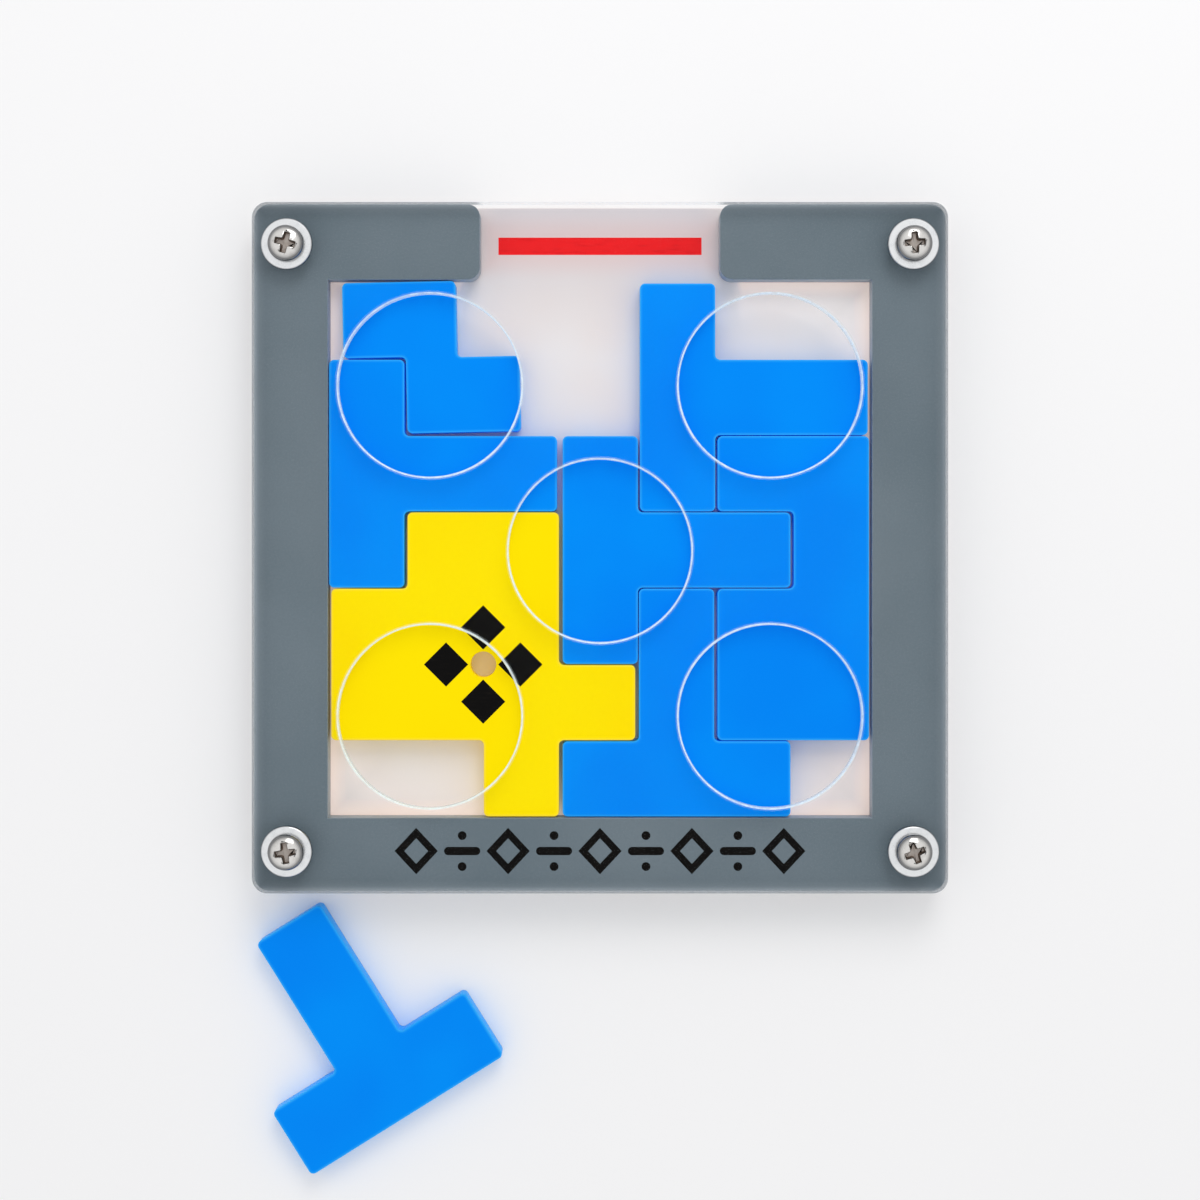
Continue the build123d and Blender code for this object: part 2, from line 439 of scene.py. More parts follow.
@dataclass(frozen=True)
class OpalAcrylic:
    """White opal acrylic with a faint warm bloom: painted glow and painted shade."""

    name: str
    body: Colour
    # warm: colour of the painted warm glow beside the walls, in the base colour and as emission
    warm: Colour
    # cool: colour of the painted shade, darker and cooler, towards the entry's edge
    cool: Colour
    # colour of the painted pink glow beside the red line and the border's ends at the entry
    pink_glow: Colour
    tray: "Tray"
    dust: Specks = Specks(6, 0.09)
    dust_colour: Colour = shade(120, 110, 105)
    dust_share: float = 0.3
    grain: Pattern = Pattern(0.3)
    clouds: Pattern = Pattern(34)
    cloud_span: Span = (0.35, 0.7)
    cloud_share: float = 0.4
    wall_fade: float = 1.0
    warm_glow_share: float = 0.6
    warm_glow_width: float = 3.5
    leak_width: float = 10.5
    near_leak: float = 0.6
    far_leak: float = 0.4
    light_leak: float = 0.36
    entry_fade: float = 5.0
    entry_reach: float = 50.0
    entry_span: Span = (0.0, 20.0)
    entry_shade_span: Span = (36.0, 68.0)
    line_glow: float = 0.38
    line_glow_width: float = 5.5
    end_glow: float = 0.12
    end_glow_width: float = 4.0
    end_glow_reach: float = 0.5
    end_glow_span: Span = (50.0, 56.0)
    surface: Grained = Grained(0.3, 0.1, 0.003, 0.2)

    def from_wall(self, across: Amount, up: Amount, in_entry: Amount) -> Amount:
        """How far a place inside is from the border's walls, in millimetres: below 0 under them.

        Args:
            across: The X coordinate in metres.
            up: The Y coordinate in metres.
            in_entry: 1 across the entry gap, where there is no wall.

        Returns:
            The distance.
        """
        side, bottom, top = (size * MM for size in self.tray.inside())
        past_side = abs(across) - side
        past_end = abs(up - (bottom + top) / 2) - (top - bottom) / 2
        past_end = past_end - in_entry * (self.entry_reach * MM)
        return past_side.larger(past_end) * (-1 / MM)

    def from_red_line(self, across: Amount, up: Amount) -> Amount:
        """How far a place is from the red line, in millimetres: below 0 on it.

        Args:
            across: The X coordinate in metres.
            up: The Y coordinate in metres.

        Returns:
            The distance.
        """
        low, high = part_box("red_line")
        past_side = abs(across) - high[0]
        past_end = abs(up - (low[1] + high[1]) / 2) - (high[1] - low[1]) / 2
        return past_side.larger(past_end) * (1 / MM)

    def make(self) -> Material:
        """Build the material from slow clouds, a fine grain, dust specks and painted glow and
        shade.

        On top it has a painted warm glow next to the border's walls, painted shade, darker and
        cooler, towards the entry's edge, and a painted pink glow beside the red line and beside the
        border's ends across the entry.

        Returns:
            The material.
        """
        board = Board(self.name)
        across, up, _ = board.axes()
        on_top = board.upward().step(*FACES_UP)
        past_entry = abs(across) - self.tray.entry_width / 2 * MM
        fade = self.entry_fade * MM
        in_entry = past_entry.step(fade, -fade) * up.step(*in_metres(self.entry_span))
        from_wall = self.from_wall(across, up, in_entry)
        inside = from_wall.step(-self.wall_fade, 0.0) * on_top
        # painted glow: warmer next to the border's walls
        glow_beside_wall = from_wall.step(self.warm_glow_width, 0.0) * inside
        far_glow = from_wall.step(self.leak_width, 0.0) * inside * self.far_leak
        leak = glow_beside_wall * self.near_leak + far_glow
        # painted shade: darker and cooler towards the entry's edge
        entry_shade_share = in_entry * on_top * up.step(*in_metres(self.entry_shade_span))
        # painted pink glow beside the border's ends across the entry and beside the red line
        beside_end = (past_entry * (-1 / MM)).step(self.end_glow_width, -self.end_glow_reach)
        at_end = beside_end * in_entry * up.step(*in_metres(self.end_glow_span))
        beside_line = self.from_red_line(across, up).step(self.line_glow_width, 0.0)
        pink_glow = beside_line * self.line_glow + at_end * self.end_glow
        cloud = board.noise(self.clouds).step(*self.cloud_span) * self.cloud_share
        colour = board.mix(cloud + glow_beside_wall * self.warm_glow_share, self.body, self.warm)
        colour = board.mix(entry_shade_share, colour, self.cool)
        colour = board.mix(pink_glow * on_top, colour, self.pink_glow)
        dust = board.specks(self.dust) * self.dust_share
        return board.finish(
            **self.surface.sockets(board, board.noise(self.grain)),
            Base_Color=board.mix(dust, colour, self.dust_colour),
            IOR=ACRYLIC_IOR,
            # painted glow: the warm colour shines as emission near the walls
            Emission_Color=board.mix(leak, UNLIT, self.warm),
            Emission_Strength=self.light_leak,
        )


@dataclass(frozen=True)
class ClearAcrylic:
    """Clear acrylic: nearly unseen flat on, with painted whitish highlight at cut and polished
    edges.
    """

    name: str
    tint: Colour
    shadow: Colour
    sidewall: Colour
    tray: "Tray"
    face_alpha: float = 0.001
    dust: Specks = Specks(5, 0.06)
    dust_alpha: float = 0.05
    edge_span: Span = (0.01, 0.12)
    hole_alpha: float = 0.92
    ripple: Pattern = Pattern(1.6, detail=3, stretch=(1, 1, 0.2))
    ripple_span: Span = (0.35, 0.65)
    unevenness: float = 0.32
    wall_span: Span = (0.9, 0.99)
    wall_highlight_share: float = 0.6
    rim_light: float = 0.08
    outside_alpha: float = 0.66
    entry_alpha: float = 0.25
    outside_width: float = 1.0
    outside_fade: float = 0.5
    entry_fade: float = 1.0
    entry_span: Span = (0.0, 10.0)
    shadow_share: float = 0.3
    roughness: float = 0.04
    edge_roughness: float = 0.1
    ripple_roughness: float = 0.04
    ripple_depth: float = 0.004

    def make(self) -> Material:
        """Build the material from how steep the surface is, with faint dust on its face.

        The outside wall is painted with the border's grey that it bends up, except across the entry
        gap.

        Returns:
            The material.
        """
        board = Board(self.name)
        steepness = board.steepness()
        edge = steepness.step(*self.edge_span)
        wall = steepness.step(*self.wall_span)
        line = edge * (1 - wall * (1 - self.wall_highlight_share))
        across, up, _ = board.axes()
        tray, reach = self.tray, self.outside_width
        past_rim = board.past_edge(tray.width / 2 - reach, tray.height / 2 - reach)
        outside = past_rim.step(-self.outside_fade * MM, 0.0)
        past_entry = abs(across) - tray.entry_width / 2 * MM
        in_gap = past_entry.step(self.entry_fade * MM, -self.entry_fade * MM)
        at_entry = in_gap * up.step(*in_metres(self.entry_span))
        over_border = outside * (1 - at_entry)
        over_entry = outside * at_entry
        ripple = board.noise(self.ripple)
        dust = board.specks(self.dust)
        # painted highlight: the edges made nearly opaque and whitish, most at the finger holes
        at_hole = (1 - outside) * line * self.hole_alpha
        at_side = edge * (over_border * self.outside_alpha + over_entry * self.entry_alpha)
        uneven = ripple.step(*self.ripple_span) * self.unevenness + (1 - self.unevenness)
        alpha = at_hole * uneven + at_side + dust * self.dust_alpha + self.face_alpha
        # painted shadow on the edges, patchy with the ripple
        colour = board.mix(edge * ripple * self.shadow_share, self.tint, self.shadow)
        shine = edge * self.edge_roughness + ripple * self.ripple_roughness
        return board.finish(
            # the border's grey painted on the outside wall
            Base_Color=board.mix(over_border, colour, self.sidewall),
            Roughness=shine + self.roughness,
            Alpha=alpha,
            Normal=board.bump(ripple * edge * (1 - outside), self.ripple_depth),
            IOR=ACRYLIC_IOR,
            # painted glow at the finger holes' rims
            Emission_Color=board.mix(at_hole * (1 - wall), UNLIT, self.tint),
            Emission_Strength=self.rim_light,
        )


@dataclass(frozen=True)
class PaintFill:
    """Paint wiped into an engraving, with the streaks that the wiping leaves."""

    name: str
    body: Colour
    thin: Colour
    streak: float
    surface: Grained
    grain: Pattern = Pattern(0.22, detail=3)
    grain_share: float = 0.6
    spot_span: Span = (0.5, 0.8)
    streaks: Pattern = Pattern(0.8, detail=3, stretch=(0.25, 1.6, 1))
    streak_span: Span = (0.48, 0.8)

    def make(self) -> Material:
        """Build the material from grain and from streaks along the engraving.

        Returns:
            The material.
        """
        board = Board(self.name)
        grain = board.noise(self.grain)
        streaks = board.noise(self.streaks).step(*self.streak_span)
        spots = grain.step(*self.spot_span) * self.streak * self.grain_share
        colour = board.mix(streaks * self.streak + spots, self.body, self.thin)
        return board.finish(Base_Color=colour, **self.surface.sockets(board, grain))


@dataclass(frozen=True)
class Plated:
    """Bright plated steel, with a painted dark reflection on its steep flanks and darker brown in a
    recess.
    """

    name: str
    body: Colour
    dull: Colour
    recess_brown: Colour
    # flank: colour of the painted dark reflection on steep flanks
    flank: Colour
    roughness: float
    scratches: Pattern = Pattern(0.16, detail=3, stretch=(1, 0.18, 1))
    clouds: Pattern = Pattern(1.3, detail=3)
    dull_span: Span = (0.45, 0.75)
    dull_share: float = 0.5
    flank_shade_span: Span = (0.03, 0.24)
    flank_shade_share: float = 0.85
    recess_brown_share: float = 0.65
    recess_brown_clouds: float = 0.5
    floor_span: Span = (0.15, 0.5)
    floor_loss: float = 0.4
    recess_metal_loss: float = 0.5
    scratch_roughness: float = 0.1
    cloud_roughness: float = 0.06
    recess_roughness: float = 0.25
    scratch_depth: float = 0.003

    def make(self) -> Material:
        """Build the material from fine scratches, dull clouds and the mesh's recess.

        Returns:
            The material.
        """
        board = Board(self.name)
        scratches = board.noise(self.scratches)
        cloud = board.noise(self.clouds)
        recess = board.attribute("recess")
        colour = board.mix(cloud.step(*self.dull_span) * self.dull_share, self.body, self.dull)
        steepness = board.steepness()
        # painted shade: steep flanks darker, a painted dark reflection
        flank = steepness.step(*self.flank_shade_span) * self.flank_shade_share
        colour = board.mix(flank, colour, self.flank)
        # darker brown in the recess, less of it on the recess floor
        floor = recess * (1 - steepness.step(*self.floor_span))
        recess_brown = recess * (cloud * self.recess_brown_clouds + self.recess_brown_share)
        browned = recess_brown * (1 - floor * self.floor_loss)
        shine = scratches * self.scratch_roughness + cloud * self.cloud_roughness
        return board.finish(
            Base_Color=board.mix(browned, colour, self.recess_brown),
            Metallic=1.0 - recess * self.recess_metal_loss,
            Roughness=shine + recess * self.recess_roughness + self.roughness,
            Normal=board.bump(scratches, self.scratch_depth),
        )


@dataclass(frozen=True)
class StudioFloor:
    """Pale paper sweep under the puzzle."""

    name: str
    body: Colour
    cloudy: Colour
    clouds: Pattern = Pattern(90)
    cloud_share: float = 0.06
    roughness: float = 0.6
    cloud_roughness: float = 0.05

    def make(self) -> Material:
        """Build the material from very faint clouds.

        Returns:
            The material.
        """
        board = Board(self.name)
        cloud = board.noise(self.clouds)
        return board.finish(
            Base_Color=board.mix(cloud * self.cloud_share, self.body, self.cloudy),
            Roughness=cloud * self.cloud_roughness + self.roughness,
        )


def cells(*rows: str) -> Cells:
    """The cells that are marked # in rows drawn from the top down."""
    drawn = enumerate(reversed(rows))
    return frozenset((i, j) for j, row in drawn for i, mark in enumerate(row) if mark == "#")


@dataclass
class Outline:
    """A flat outline drawn on lines: the cells between them that are kept make the shape."""

    columns: tuple[float, ...]
    rows: tuple[float, ...]
    kept: Cells

    def draw(self) -> Shape:
        """Draw the outline as one face on z = 0.

        Returns:
            A mesh whose one face points up.
        """
        shape = bmesh.new()
        wide = len(self.columns) - 1
        high = len(self.rows) - 1
        bmesh.ops.create_grid(shape, x_segments=wide, y_segments=high, size=0.5)
        dropped = []
        for face in shape.faces:
            middle = face.calc_center_median()
            cell = (math.floor((middle.x + 0.5) * wide), math.floor((middle.y + 0.5) * high))
            if cell not in self.kept:
                dropped.append(face)
        bmesh.ops.delete(shape, geom=dropped, context="FACES")
        for corner in shape.verts:
            corner.co.x = self.columns[round((corner.co.x + 0.5) * wide)]
            corner.co.y = self.rows[round((corner.co.y + 0.5) * high)]
        bmesh.ops.dissolve_limit(
            shape, angle_limit=STRAIGHT_ANGLE, verts=shape.verts[:], edges=shape.edges[:]
        )
        return shape


def four_corners(across: float, high: float, shift: float = 0.0) -> list[Vector]:
    """Corners of a rectangle about the origin, moved by a shift along Y."""
    return [Vector((x * across / 2, y * high / 2 + shift, 0)) for x in (-1, 1) for y in (-1, 1)]


def plain_outline(width: float, height: float) -> Outline:
    """A rectangle about the origin."""
    return Outline((-width / 2, width / 2), (-height / 2, height / 2), cells("#"))


def bevel(shape: Shape, parts: list, width: float, segments: int, affect: str) -> None:
    """Round off corners or edges by a width on each side.

    Args:
        shape: The outline or solid.
        parts: Its corners or edges.
        width: The width.
        segments: Faces or edges in the rounding.
        affect: VERTICES or EDGES.
    """
    bmesh.ops.bevel(
        shape,
        geom=parts,
        offset=width,
        offset_type="OFFSET",
        segments=segments,
        profile=0.5,
        affect=affect,
        material=-1,
    )


def round_corners(shape: Shape, radius_at: Callable[[Vector], float], segments: int = 8) -> None:
    """Round the corners of a flat outline.

    Args:
        shape: The outline.
        radius_at: Gives the radius for a corner's place, and 0 for a corner that stays sharp.
        segments: Edges in each rounded corner.
    """
    groups: dict[float, list[bmesh.types.BMVert]] = {}
    for corner in shape.verts:
        radius = radius_at(corner.co)
        if radius > 0:
            groups.setdefault(radius, []).append(corner)
    for radius, corners in groups.items():
        bevel(shape, corners, radius, segments, "VERTICES")


def trim(shape: Shape, loss: float) -> None:
    """Take what the cut takes off a flat outline of one face.

    Args:
        shape: The outline.
        loss: Width that the cut takes on each side.
    """
    rim = bmesh.ops.inset_individual(
        shape, faces=shape.faces[:], thickness=loss, use_even_offset=True
    )
    bmesh.ops.delete(shape, geom=rim["faces"], context="FACES")


def thicken(shape: Shape, bottom: float, top: float) -> None:
    """Make a flat outline a solid between two heights.

    Args:
        shape: The outline on z = 0.
        bottom: Height of its underside.
        top: Height of its top.
    """
    bmesh.ops.translate(shape, verts=shape.verts[:], vec=(0, 0, bottom))
    grown = bmesh.ops.extrude_face_region(shape, geom=shape.faces[:], use_keep_orig=True)
    upper = [item for item in grown["geom"] if isinstance(item, bmesh.types.BMVert)]
    bmesh.ops.translate(shape, verts=upper, vec=(0, 0, top - bottom))
    bmesh.ops.recalc_face_normals(shape, faces=shape.faces[:])


def lies_flat(face: bmesh.types.BMFace) -> bool:
    """Whether a face lies level."""
    return abs(face.normal.z) > LEVEL


def rim_edges(shape: Shape, wanted: Callable[[Vector], bool]) -> list[bmesh.types.BMEdge]:
    """Find the edges between level faces and walls.

    Args:
        shape: The solid.
        wanted: Says by an edge's middle whether it counts.

    Returns:
        The edges.
    """
    found = []
    for edge in shape.edges:
        faces = edge.link_faces
        if len(faces) != 2 or lies_flat(faces[0]) == lies_flat(faces[1]):
            continue
        if wanted((edge.verts[0].co + edge.verts[1].co) / 2):
            found.append(edge)
    return found


def soften_rims(shape: Shape, wanted: Callable[[Vector], bool], width: float) -> None:
    """Round off the wanted edges between level faces and walls."""
    bevel(shape, rim_edges(shape, wanted), width, RIM_SEGMENTS, "EDGES")


def as_mesh(shape: Shape, name: str) -> bpy.types.Mesh:
    """Put a shape into a mesh and free it.

    Args:
        shape: The shape.
        name: Name of the mesh.

    Returns:
        The mesh.
    """
    mesh = bpy.data.meshes.new(name)
    shape.to_mesh(mesh)
    shape.free()
    return mesh


def add_object(name: str, data: bpy.types.ID) -> bpy.types.Object:
    """Put data into the scene as a new object.

    Args:
        name: Name of the object.
        data: Its mesh, lamp or camera.

    Returns:
        The object.
    """
    new = bpy.data.objects.new(name, data)
    bpy.context.scene.collection.objects.link(new)
    return new


def as_shape(mesh: bpy.types.Mesh) -> Shape:
    """Take a mesh back into a shape and remove it.

    Args:
        mesh: The mesh.

    Returns:
        The shape.
    """
    shape = bmesh.new()
    shape.from_mesh(mesh)
    bpy.data.meshes.remove(mesh)
    return shape


def cut(shape: Shape, cutter: Shape) -> Shape:
    """Cut one solid out of another.

    Args:
        shape: The solid that is cut. It is freed.
        cutter: The solid that is taken away. It is freed.

    Returns:
        What is left.
    """
    block = add_object("block", as_mesh(shape, "block"))
    tool = add_object("tool", as_mesh(cutter, "tool"))
    boolean = block.modifiers.new("cut", "BOOLEAN")
    boolean.operation = "DIFFERENCE"
    boolean.solver = "MANIFOLD"
    boolean.object = tool
    depsgraph = bpy.context.evaluated_depsgraph_get()
    result = bpy.data.meshes.new_from_object(block.evaluated_get(depsgraph))
    for item in (block, tool):
        mesh = item.data
        bpy.data.objects.remove(item)
        bpy.data.meshes.remove(mesh)
    return as_shape(result)


def add_drum(shape: Shape, place: Vector, radius: float, height: float, sides: int) -> None:
    """Add an upright drum to a shape.

    Args:
        shape: The shape that gets it.
        place: Middle of its underside.
        radius: Radius to its corners.
        height: Height.
        sides: Number of sides.
    """
    middle = Matrix.Translation((place.x, place.y, place.z + height / 2))
    bmesh.ops.create_cone(
        shape,
        cap_ends=True,
        segments=sides,
        radius1=radius,
        radius2=radius,
        depth=height,
        matrix=middle,
    )


def add_hole(cutter: Shape, place: Vector, radius: float, sides: int) -> None:
    """Add an upright drum that goes through every sheet to a cutter."""
    start = Vector((place.x, place.y, CUTTER_BOTTOM))
    add_drum(cutter, start, radius, CUTTER_HEIGHT, sides)


def copy_of_node(node: str) -> Shape:
    """Copy a CAD node's mesh, merged and in millimetres.

    Args:
        node: Name of the node.

    Returns:
        The copy.
    """
    shape = bmesh.new()
    shape.from_mesh(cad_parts[node].data)
    bmesh.ops.scale(shape, vec=(1 / MM, 1 / MM, 1 / MM), verts=shape.verts[:])
    bmesh.ops.remove_doubles(shape, verts=shape.verts[:], dist=MERGE_DISTANCE)
    return shape


def engraving(node: str, spare: float = 0.3) -> Shape:
    """Make a cutter for the pocket that a fill lies in.

    Args:
        node: CAD node of the fill.
        spare: How far the cutter stands out of the sheet.

    Returns:
        The cutter.
    """
    shape = copy_of_node(node)
    top = max(corner.co.z for corner in shape.verts)
    upper = [corner for corner in shape.verts if corner.co.z > top - CLOSE / 10]
    bmesh.ops.translate(shape, verts=upper, vec=(0, 0, spare))
    return shape


@dataclass
class Made:
    """A new piece: its name, body, slot and the CAD node that it takes the place of."""

    name: str
    body: str
    slot: Slot
    node: str

    def place(self, shape: Shape, material: Material) -> bpy.types.Object:
        """Turn a shape in millimetres into a finished piece.

        Args:
            shape: The shape. It is freed.
            material: Its material.

        Returns:
            The piece.
        """
        bmesh.ops.scale(shape, vec=(MM, MM, MM), verts=shape.verts[:])
        for face in shape.faces:
            face.smooth = True
        for edge in shape.edges:
            if len(edge.link_faces) == 2:
                level = [lies_flat(face) for face in edge.link_faces]
                edge.smooth = level[0] == level[1] and edge.calc_face_angle() < SMOOTH_ANGLE
        mesh = as_mesh(shape, self.name)
        mesh.materials.append(material)
        piece = add_object(self.name, mesh)
        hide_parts(self.node)
        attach(piece, self.body)
        log.info("%s: %d faces on body %s", self.name, len(mesh.polygons), self.body)
        return piece


def dress_node(node: str, material: Material) -> None:
    """Give a CAD node that stays as it is its material.

    Args:
        node: Name of the node.
        material: The material.
    """
    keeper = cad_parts[node]
    if not keeper.material_slots:
        keeper.data.materials.append(material)
    for place in keeper.material_slots:
        place.material = material
    log.info("%s: carried over with %s", node, material.name)


@dataclass
class Fasteners:
    """Four screws with washers, and their places."""

    across: float = 120.4
    high: float = 116.7
    hole_diameter: float = 3.9
    head_radius: float = 3.5
    head_side: float = 0.8
    head_height: float = 2.4
    head_chamfer: float = 0.15
    head_sides: int = 64
    dome_steps: int = 14
    shank_radius: float = 1.75
    tip_height: float = 0.4
    tip_chamfer: float = 0.4
    seat: float = 12.0
    recess_half_length: float = 2.1
    recess_half_width: float = 0.65
    recess_depth: float = 1.4
    recess_spare: float = 1.0
    recess_clear: float = 0.5
    recess_taper: float = 0.3
    recess_softness: float = 0.12
    recess_inner_round: float = 0.3
    recess_outer_round: float = 0.18
    recess_mark_depth: float = 0.6
    washer_inner: float = 1.95
    washer_outer: float = 4.95
    washer_bottom: float = 11.0
    washer_softness: float = 0.28
    washer_sides: int = 72
    turns: tuple[float, ...] = (8.0, -14.0, 21.0, 4.0)

    def places(self) -> list[Vector]:
        """Where the four screws stand."""
        return four_corners(self.across, self.high)

    def holes(self) -> Shape:
        """Cutter for the four screw holes of a sheet.

        Returns:
            The cutter.
        """
        cutter = bmesh.new()
        for place in self.places():
            add_hole(cutter, place, self.hole_diameter / 2, SCREW_HOLE_SIDES)
        return cutter

    def spin_profile(self, points: Iterable[tuple[float, float]], steps: int) -> Shape:
        """Spin a profile about the upright axis.

        Args:
            points: Radius and height of each point of the profile.
            steps: Faces round the turn.

        Returns:
            The spun solid.
        """
        shape = bmesh.new()
        corners = [shape.verts.new((radius, 0, height)) for radius, height in points]
        edges = [shape.edges.new(pair) for pair in zip(corners, corners[1:])]
        bmesh.ops.spin(
            shape,
            geom=corners + edges,
            cent=(0, 0, 0),
            axis=(0, 0, 1),
            angle=2 * math.pi,
            steps=steps,
            use_merge=True,
        )
        bmesh.ops.remove_doubles(shape, verts=shape.verts[:], dist=SPIN_MERGE_DISTANCE)
        bmesh.ops.recalc_face_normals(shape, faces=shape.faces[:])
        return shape

    def head_top(self, radius: float) -> float:
        """Height of the dome at a distance from the screw's axis."""
        slope = math.sqrt(1 - min(radius / self.head_radius, 1.0) ** 2)
        return self.seat + self.head_side + (self.head_height - self.head_side) * slope

    def depth_in_head(self, place: Vector) -> float:
        """How far a place lies under the dome."""
        return self.head_top(place.xy.length) - place.z

    def screw_blank(self) -> Shape:
        """A screw before its recess is cut.

        Returns:
            The solid.
        """
        tip = self.shank_radius - self.tip_chamfer
        points = [
            (0.0, self.tip_height),
            (tip, self.tip_height),
            (self.shank_radius, self.tip_height + self.tip_chamfer),
            (self.shank_radius, self.seat),
            (self.head_radius - self.head_chamfer, self.seat),
            (self.head_radius, self.seat + self.head_chamfer),
        ]
        for step in range(self.dome_steps + 1):
            radius = self.head_radius * math.cos(math.pi / 2 * step / self.dome_steps)
            points.append((max(radius, 0.0), self.head_top(radius)))
        return self.spin_profile(points, self.head_sides)

    def recess_cutter(self) -> Shape:
        """Cross with tapered walls that stands out of the head's top.

        Returns:
            The cutter.
        """
        length, width = self.recess_half_length, self.recess_half_width
        lines = (-length, -width, width, length)
        cutter = Outline(lines, lines, cells(".#.", "###", ".#.")).draw()
        inner, outer = self.recess_inner_round, self.recess_outer_round
        round_corners(
            cutter,
            lambda place: inner if place.length < length / 2 else outer,
            RECESS_CORNER_SEGMENTS,
        )
        top = self.seat + self.head_height
        thicken(cutter, top, top + self.recess_spare)
        floor = min(cutter.faces, key=lambda face: face.calc_center_median().z)
        bmesh.ops.inset_individual(
            cutter,
            faces=[floor],
            thickness=self.recess_taper,
            depth=self.recess_depth,
            use_even_offset=True,
        )
        bmesh.ops.recalc_face_normals(cutter, faces=cutter.faces[:])
        return cutter

    def screw(self) -> Shape:
        """A screw with its recess softened at the mouth and marked for the darker brown in it.

        Returns:
            The screw.
        """
        shape = cut(self.screw_blank(), self.recess_cutter())
        mouth = []
        for edge in shape.edges:
            middle = (edge.verts[0].co + edge.verts[1].co) / 2
            on_dome = abs(self.depth_in_head(middle)) < CLOSE / 2
            if len(edge.link_faces) == 2 and on_dome and edge.calc_face_angle() > MOUTH_ANGLE:
                mouth.append(edge)
        bevel(shape, mouth, self.recess_softness, MOUTH_SEGMENTS, "EDGES")
        mark = shape.verts.layers.float.new("recess")
        for corner in shape.verts:
            depth = self.depth_in_head(corner.co)
            in_head = corner.co.z > self.seat + self.recess_clear
            inside = in_head and depth > self.recess_softness
            corner[mark] = min(depth / self.recess_mark_depth, 1.0) if inside else 0.0
        return shape

    def washer(self) -> Shape:
        """A washer whose edges are a little rounded by the punch.

        Returns:
            The washer.
        """
        half_soft = self.washer_softness / 2
        low, high = self.washer_bottom, self.seat
        inner, outer = self.washer_inner, self.washer_outer
        points = [
            (inner, low + half_soft),
            (inner, high - half_soft),
            (inner + half_soft, high),
            (outer - 2 * half_soft, high),
            (outer - half_soft, high - half_soft / 2),
            (outer, high - 2 * half_soft),
            (outer, low + half_soft),
            (outer - half_soft, low),
            (inner + half_soft, low),
            (inner, low + half_soft),
        ]
        return self.spin_profile(points, self.washer_sides)

    def at_places(self, shape: Shape) -> Shape:
        """Copy a shape to the four places, each with its own turn.

        Args:
            shape: The shape about the upright axis. It is freed.

        Returns:
            The four copies in one shape.
        """
        mesh = as_mesh(shape, "one")
        together = bmesh.new()
        for place, turn in zip(self.places(), self.turns):
            before = len(together.verts)
            together.from_mesh(mesh)
            together.verts.ensure_lookup_table()
            move = Matrix.Translation(place) @ Matrix.Rotation(math.radians(turn), 4, "Z")
            bmesh.ops.transform(together, matrix=move, verts=together.verts[before:])
        bpy.data.meshes.remove(mesh)
        return together

    def build(self) -> None:
        """Make the screws and washers, and dress the nuts."""
        # each flank colour is a painted dark reflection on the steep flanks
        steel = Plated(
            name="bright_nickel",
            body=shade(236, 234, 231),
            dull=shade(206, 202, 196),
            # the darker brown in the cross recess
            recess_brown=shade(110, 78, 46),
            flank=shade(96, 98, 101),
            roughness=0.08,
        ).make()
        zinc = Plated(
            name="bright_zinc",
            body=shade(244, 246, 248),
            dull=shade(224, 228, 232),
            recess_brown=shade(150, 145, 138),
            flank=shade(120, 123, 127),
            roughness=0.18,
        ).make()
        Made("cross_recess_screws", "tray", Slot.STEEL, "cover_screws").place(
            self.at_places(self.screw()), steel
        )
        Made("plated_washers", "tray", Slot.ZINC, "screw_washers").place(
            self.at_places(self.washer()), zinc
        )
        dress_node("screw_nuts", zinc)


